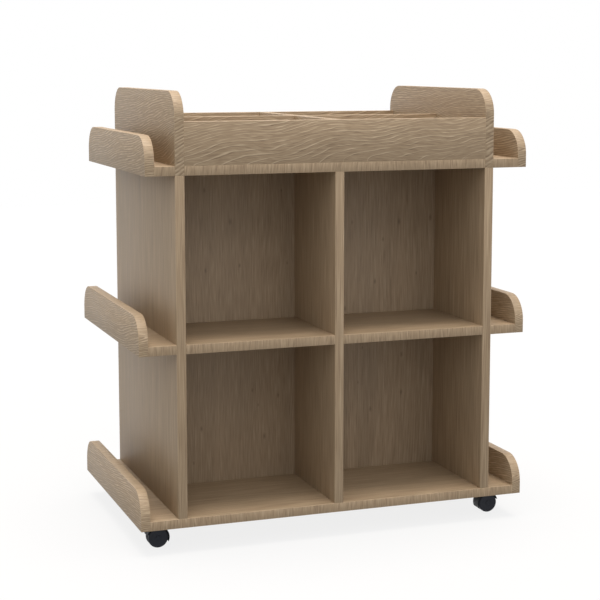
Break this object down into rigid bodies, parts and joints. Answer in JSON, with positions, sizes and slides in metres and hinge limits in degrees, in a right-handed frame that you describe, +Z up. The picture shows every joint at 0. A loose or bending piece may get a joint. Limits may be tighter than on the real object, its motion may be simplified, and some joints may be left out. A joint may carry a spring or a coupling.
{
  "type": "mobile double-sided bookcase",
  "caption": "Oak laminate bookcase on hooded casters, open on both long sides, with lipped book ledges on the ends and a divided browsing trough on top.",
  "frame": {"origin": "on the floor, under the middle of the bookcase", "axes": "+Z up, +X along the long open side to the right as seen from the front, +Y from the front towards the rear"},
  "size_m": [0.812, 0.488, 0.8915],
  "materials": {
    "oak_laminate": "satin oak-grain laminate on chipboard",
    "black_nylon": "moulded, fine satin",
    "charcoal_nylon": "moulded, satin",
    "zinc_plated_steel": "bright zinc plating"
  },
  "bodies": {
    "carcass": {"base_panel": "oak_laminate", "centre_divider": "oak_laminate", "top_panel": "oak_laminate", "trough_middle_board": "oak_laminate", "trough_front_board": "oak_laminate", "trough_rear_board": "oak_laminate", "trough_front_divider": "oak_laminate", "trough_rear_divider": "oak_laminate", "side_panel_left": "oak_laminate", "gable_left": "oak_laminate", "back_panel_left": "oak_laminate", "shelf_front_left": "oak_laminate", "shelf_rear_left": "oak_laminate", "lip_bottom_left": "oak_laminate", "lip_middle_left": "oak_laminate", "lip_top_left": "oak_laminate", "ledge_middle_left": "oak_laminate", "ledge_top_left": "oak_laminate", "side_panel_right": "oak_laminate", "gable_right": "oak_laminate", "back_panel_right": "oak_laminate", "shelf_front_right": "oak_laminate", "shelf_rear_right": "oak_laminate", "lip_bottom_right": "oak_laminate", "lip_middle_right": "oak_laminate", "lip_top_right": "oak_laminate", "ledge_middle_right": "oak_laminate", "ledge_top_right": "oak_laminate", "caster_front_left_insert": "zinc_plated_steel", "caster_front_left_stem": "zinc_plated_steel", "caster_front_right_insert": "zinc_plated_steel", "caster_front_right_stem": "zinc_plated_steel", "caster_rear_left_insert": "zinc_plated_steel", "caster_rear_left_stem": "zinc_plated_steel", "caster_rear_right_insert": "zinc_plated_steel", "caster_rear_right_stem": "zinc_plated_steel"},
    "caster_front_left_swivel": {"caster_front_left_hood": "black_nylon", "caster_front_left_axle": "zinc_plated_steel"},
    "caster_front_left_wheel_front_body": {"caster_front_left_wheel_front": "charcoal_nylon"},
    "caster_front_left_wheel_rear_body": {"caster_front_left_wheel_rear": "charcoal_nylon"},
    "caster_front_right_swivel": {"caster_front_right_hood": "black_nylon", "caster_front_right_axle": "zinc_plated_steel"},
    "caster_front_right_wheel_front_body": {"caster_front_right_wheel_front": "charcoal_nylon"},
    "caster_front_right_wheel_rear_body": {"caster_front_right_wheel_rear": "charcoal_nylon"},
    "caster_rear_left_swivel": {"caster_rear_left_hood": "black_nylon", "caster_rear_left_axle": "zinc_plated_steel"},
    "caster_rear_left_wheel_front_body": {"caster_rear_left_wheel_front": "charcoal_nylon"},
    "caster_rear_left_wheel_rear_body": {"caster_rear_left_wheel_rear": "charcoal_nylon"},
    "caster_rear_right_swivel": {"caster_rear_right_hood": "black_nylon", "caster_rear_right_axle": "zinc_plated_steel"},
    "caster_rear_right_wheel_front_body": {"caster_rear_right_wheel_front": "charcoal_nylon"},
    "caster_rear_right_wheel_rear_body": {"caster_rear_right_wheel_rear": "charcoal_nylon"}
  },
  "joints": [
    {"name": "caster_front_left_swivel_turn", "type": "hinge", "parent": "carcass", "child": "caster_front_left_swivel", "pos_m": [-0.345, -0.179, 0.045], "axis": [0, 0, 1], "continuous": true},
    {"name": "caster_front_left_wheel_front_spin", "type": "hinge", "parent": "caster_front_left_swivel", "child": "caster_front_left_wheel_front_body", "pos_m": [-0.359, -0.18725, 0.02], "axis": [0, 1, 0], "continuous": true},
    {"name": "caster_front_left_wheel_rear_spin", "type": "hinge", "parent": "caster_front_left_swivel", "child": "caster_front_left_wheel_rear_body", "pos_m": [-0.359, -0.17075, 0.02], "axis": [0, 1, 0], "continuous": true},
    {"name": "caster_front_right_swivel_turn", "type": "hinge", "parent": "carcass", "child": "caster_front_right_swivel", "pos_m": [0.345, -0.179, 0.045], "axis": [0, 0, 1], "continuous": true},
    {"name": "caster_front_right_wheel_front_spin", "type": "hinge", "parent": "caster_front_right_swivel", "child": "caster_front_right_wheel_front_body", "pos_m": [0.359, -0.18725, 0.02], "axis": [0, 1, 0], "continuous": true},
    {"name": "caster_front_right_wheel_rear_spin", "type": "hinge", "parent": "caster_front_right_swivel", "child": "caster_front_right_wheel_rear_body", "pos_m": [0.359, -0.17075, 0.02], "axis": [0, 1, 0], "continuous": true},
    {"name": "caster_rear_left_swivel_turn", "type": "hinge", "parent": "carcass", "child": "caster_rear_left_swivel", "pos_m": [-0.345, 0.179, 0.045], "axis": [0, 0, 1], "continuous": true},
    {"name": "caster_rear_left_wheel_front_spin", "type": "hinge", "parent": "caster_rear_left_swivel", "child": "caster_rear_left_wheel_front_body", "pos_m": [-0.331, 0.17075, 0.02], "axis": [0, 1, 0], "continuous": true},
    {"name": "caster_rear_left_wheel_rear_spin", "type": "hinge", "parent": "caster_rear_left_swivel", "child": "caster_rear_left_wheel_rear_body", "pos_m": [-0.331, 0.18725, 0.02], "axis": [0, 1, 0], "continuous": true},
    {"name": "caster_rear_right_swivel_turn", "type": "hinge", "parent": "carcass", "child": "caster_rear_right_swivel", "pos_m": [0.345, 0.179, 0.045], "axis": [0, 0, 1], "continuous": true},
    {"name": "caster_rear_right_wheel_front_spin", "type": "hinge", "parent": "caster_rear_right_swivel", "child": "caster_rear_right_wheel_front_body", "pos_m": [0.331, 0.17075, 0.02], "axis": [0, 1, 0], "continuous": true},
    {"name": "caster_rear_right_wheel_rear_spin", "type": "hinge", "parent": "caster_rear_right_swivel", "child": "caster_rear_right_wheel_rear_body", "pos_m": [0.331, 0.18725, 0.02], "axis": [0, 1, 0], "continuous": true}
  ]
}
